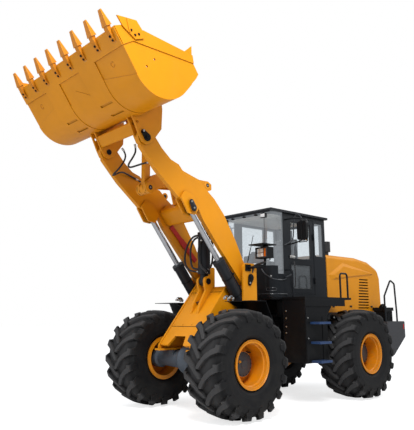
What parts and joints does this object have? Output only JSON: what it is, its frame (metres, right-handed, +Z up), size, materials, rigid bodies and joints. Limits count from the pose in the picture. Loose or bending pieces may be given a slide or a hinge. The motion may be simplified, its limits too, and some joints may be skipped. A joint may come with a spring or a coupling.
{
  "type": "articulated wheel loader",
  "caption": "Articulated wheel loader with a raised Z-bar lift arm, a toothed bucket, a glazed cab over the hinge, a rear engine hood and four lugged tyres.",
  "frame": {"origin": "on the ground under the middle of the machine, half way between the bucket teeth and the back of the counterweight", "axes": "+X forward toward the bucket, +Y to the left, +Z up"},
  "size_m": [8.0272, 2.92, 5.5014],
  "materials": {
    "tyre_rubber": "matte black tread rubber, dusty",
    "rim_orange": "golden yellow machine paint",
    "body_yellow": "golden yellow machine paint, semi-gloss",
    "dark_steel": "black paint",
    "cylinder_grey": "dark grey paint",
    "axle_grey": "blue-grey paint",
    "lamp_red": "red lamp plastic",
    "step_blue": "dark blue paint",
    "chrome_rod": "polished rod",
    "cab_paint": "charcoal paint, semi-gloss",
    "window_glass": "tinted glass",
    "tooth_steel": "golden yellow paint over cast steel",
    "engine_iron": "dark painted iron",
    "counterweight_iron": "dark painted casting",
    "strut_red": "red paint",
    "seat_plastic": "black trim",
    "plastic_black": "black plastic"
  },
  "bodies": {
    "rear_body": {"rear_frame": "dark_steel", "rear_axle": "axle_grey", "engine_block": "engine_iron", "counterweight": "counterweight_iron", "hood": "body_yellow", "precleaner": "plastic_black", "cab_shell": "cab_paint", "cab_glass": "window_glass", "cab_roof": "cab_paint", "cab_interior": "seat_plastic", "platform": "dark_steel", "deck_skirts": "dark_steel", "deck_legs": "dark_steel", "side_tanks": "dark_steel", "steps": "step_blue", "handrails": "cab_paint", "rear_boxes": "dark_steel", "mirrors": "dark_steel", "rear_lamps": "lamp_red", "battery_domes": "dark_steel"},
    "door": {"cab_door": "cab_paint", "door_glass": "window_glass"},
    "grille": {"rear_grille": "dark_steel"},
    "front_body": {"front_frame": "body_yellow", "front_axle": "axle_grey", "boom_pivot_pins": "dark_steel", "boom_pivot_keepers": "dark_steel", "front_fenders": "dark_steel", "headlights": "dark_steel", "headlight_lenses": "window_glass"},
    "boom": {"boom": "body_yellow", "safety_strut": "strut_red"},
    "rocker_pin": {"rocker_pin": "dark_steel"},
    "rocker": {"rocker": "body_yellow"},
    "link_pin": {"link_pin": "dark_steel"},
    "link": {"link": "body_yellow"},
    "bucket_pins": {"bucket_pins": "dark_steel"},
    "bucket": {"bucket": "body_yellow", "bucket_teeth": "tooth_steel"},
    "tilt_pin": {"tilt_pin": "dark_steel"},
    "tilt_barrel": {"tilt_barrel": "cylinder_grey"},
    "tilt_rod": {"tilt_rod": "chrome_rod"},
    "lift_barrels": {"lift_barrels": "cylinder_grey"},
    "lift_rods": {"lift_rods": "chrome_rod"},
    "steer_barrel_left": {"steer_barrel_left": "cylinder_grey"},
    "steer_rod_left": {"steer_rod_left": "chrome_rod"},
    "wheel_front_left": {"tyre_front_left": "tyre_rubber", "rim_front_left": "rim_orange"},
    "wheel_rear_left": {"tyre_rear_left": "tyre_rubber", "rim_rear_left": "rim_orange"},
    "steer_barrel_right": {"steer_barrel_right": "cylinder_grey"},
    "steer_rod_right": {"steer_rod_right": "chrome_rod"},
    "wheel_front_right": {"tyre_front_right": "tyre_rubber", "rim_front_right": "rim_orange"},
    "wheel_rear_right": {"tyre_rear_right": "tyre_rubber", "rim_rear_right": "rim_orange"}
  },
  "joints": [
    {"name": "articulation", "type": "hinge", "parent": "rear_body", "child": "front_body", "pos_m": [-0.398, 0, 1.487], "axis": [0, 0, 1], "range_deg": [-35, 35]},
    {"name": "boom_lift", "type": "hinge", "parent": "front_body", "child": "boom", "pos_m": [0.502, 0, 2.18], "axis": [0, -1, 0], "range_deg": [-81, 3]},
    {"name": "bucket_carry", "type": "hinge", "parent": "boom", "child": "bucket_pins", "pos_m": [2.687, 0, 4.222], "axis": [0, -1, 0], "range_deg": [-3.04, 56.14]},
    {"name": "bucket_tilt", "type": "hinge", "parent": "bucket_pins", "child": "bucket", "pos_m": [2.687, 0, 4.222], "axis": [0, -1, 0], "range_deg": [-90, 3]},
    {"name": "rocker_carry", "type": "hinge", "parent": "boom", "child": "rocker_pin", "pos_m": [1.552, 0, 3.817], "axis": [0, -1, 0], "range_deg": [-46.83, 2.7]},
    {"name": "rocker_turn", "type": "hinge", "parent": "rocker_pin", "child": "rocker", "pos_m": [1.552, 0, 3.817], "axis": [0, -1, 0], "range_deg": [-2.27, 39.2]},
    {"name": "link_carry", "type": "hinge", "parent": "rocker", "child": "link_pin", "pos_m": [2.26, 0, 3.589], "axis": [0, -1, 0], "range_deg": [-2, 28.14]},
    {"name": "link_turn", "type": "hinge", "parent": "link_pin", "child": "link", "pos_m": [2.26, 0, 3.589], "axis": [0, -1, 0], "range_deg": [-91.94, 4.03]},
    {"name": "tilt_carry", "type": "hinge", "parent": "front_body", "child": "tilt_pin", "pos_m": [0.97, 0, 2.129], "axis": [0, -1, 0], "range_deg": [-100.01, 4.67]},
    {"name": "tilt_turn", "type": "hinge", "parent": "tilt_pin", "child": "tilt_barrel", "pos_m": [0.97, 0, 2.129], "axis": [0, -1, 0], "range_deg": [-6.51, 1.18]},
    {"name": "tilt_slide", "type": "slide", "parent": "tilt_barrel", "child": "tilt_rod", "axis": [-0.0059, 0, 1], "range_m": [-0.36482, 0.01699]},
    {"name": "lift_turn", "type": "hinge", "parent": "front_body", "child": "lift_barrels", "pos_m": [0.432, 0.525, 1.537], "axis": [0, -1, 0], "range_deg": [-71.26, 3.6]},
    {"name": "lift_slide", "type": "slide", "parent": "lift_barrels", "child": "lift_rods", "axis": [0.6119, 0, 0.7909], "range_m": [-0.77969, 0.03369]},
    {"name": "steer_turn_left", "type": "hinge", "parent": "rear_body", "child": "steer_barrel_left", "pos_m": [-1.278, 0.42, 1.037], "axis": [0, 0, 1], "range_deg": [-6.91, 6.91]},
    {"name": "steer_slide_left", "type": "slide", "parent": "steer_barrel_left", "child": "steer_rod_left", "axis": [0.9998, -0.0187, 0], "range_m": [-0.24748, 0.24748]},
    {"name": "steer_turn_right", "type": "hinge", "parent": "rear_body", "child": "steer_barrel_right", "pos_m": [-1.278, -0.42, 1.037], "axis": [0, 0, 1], "range_deg": [-6.91, 6.91]},
    {"name": "steer_slide_right", "type": "slide", "parent": "steer_barrel_right", "child": "steer_rod_right", "axis": [0.9998, 0.0187, 0], "range_m": [-0.24748, 0.24748]},
    {"name": "wheel_front_left", "type": "hinge", "parent": "front_body", "child": "wheel_front_left", "pos_m": [1.252, 1.11, 0.825], "axis": [0, 1, 0], "continuous": true},
    {"name": "wheel_rear_left", "type": "hinge", "parent": "rear_body", "child": "wheel_rear_left", "pos_m": [-2.048, 1.11, 0.825], "axis": [0, 1, 0], "continuous": true},
    {"name": "wheel_front_right", "type": "hinge", "parent": "front_body", "child": "wheel_front_right", "pos_m": [1.252, -1.11, 0.825], "axis": [0, 1, 0], "continuous": true},
    {"name": "wheel_rear_right", "type": "hinge", "parent": "rear_body", "child": "wheel_rear_right", "pos_m": [-2.048, -1.11, 0.825], "axis": [0, 1, 0], "continuous": true},
    {"name": "cab_door", "type": "hinge", "parent": "rear_body", "child": "door", "pos_m": [-1.363, 0.655, 2.137], "axis": [0, 0, 1], "range_deg": [0, 80]},
    {"name": "rear_grille", "type": "hinge", "parent": "rear_body", "child": "grille", "pos_m": [-3.814, 0.548, 1.787], "axis": [0, 0, -1], "range_deg": [0, 100]}
  ],
  "couplings": [
    {"joint": "bucket_carry", "follows": "boom_lift", "ratio": -0.68071},
    {"joint": "rocker_carry", "follows": "boom_lift", "ratio": 0.56585},
    {"joint": "link_carry", "follows": "boom_lift", "ratio": -0.33507},
    {"joint": "tilt_carry", "follows": "boom_lift", "ratio": 1.2223},
    {"joint": "lift_turn", "follows": "boom_lift", "ratio": 0.86743},
    {"joint": "lift_slide", "follows": "boom_lift", "m_per_rad": 0.54798},
    {"joint": "rocker_turn", "follows": "bucket_tilt", "ratio": -0.4244},
    {"joint": "link_turn", "follows": "bucket_tilt", "ratio": 1.0105},
    {"joint": "tilt_turn", "follows": "bucket_tilt", "ratio": 0.06121},
    {"joint": "tilt_slide", "follows": "bucket_tilt", "m_per_rad": 0.22907},
    {"joint": "steer_turn_left", "follows": "articulation", "ratio": 0.16891},
    {"joint": "steer_turn_right", "follows": "articulation", "ratio": 0.16891},
    {"joint": "steer_slide_left", "follows": "articulation", "m_per_rad": -0.39695},
    {"joint": "steer_slide_right", "follows": "articulation", "m_per_rad": 0.39695}
  ]
}
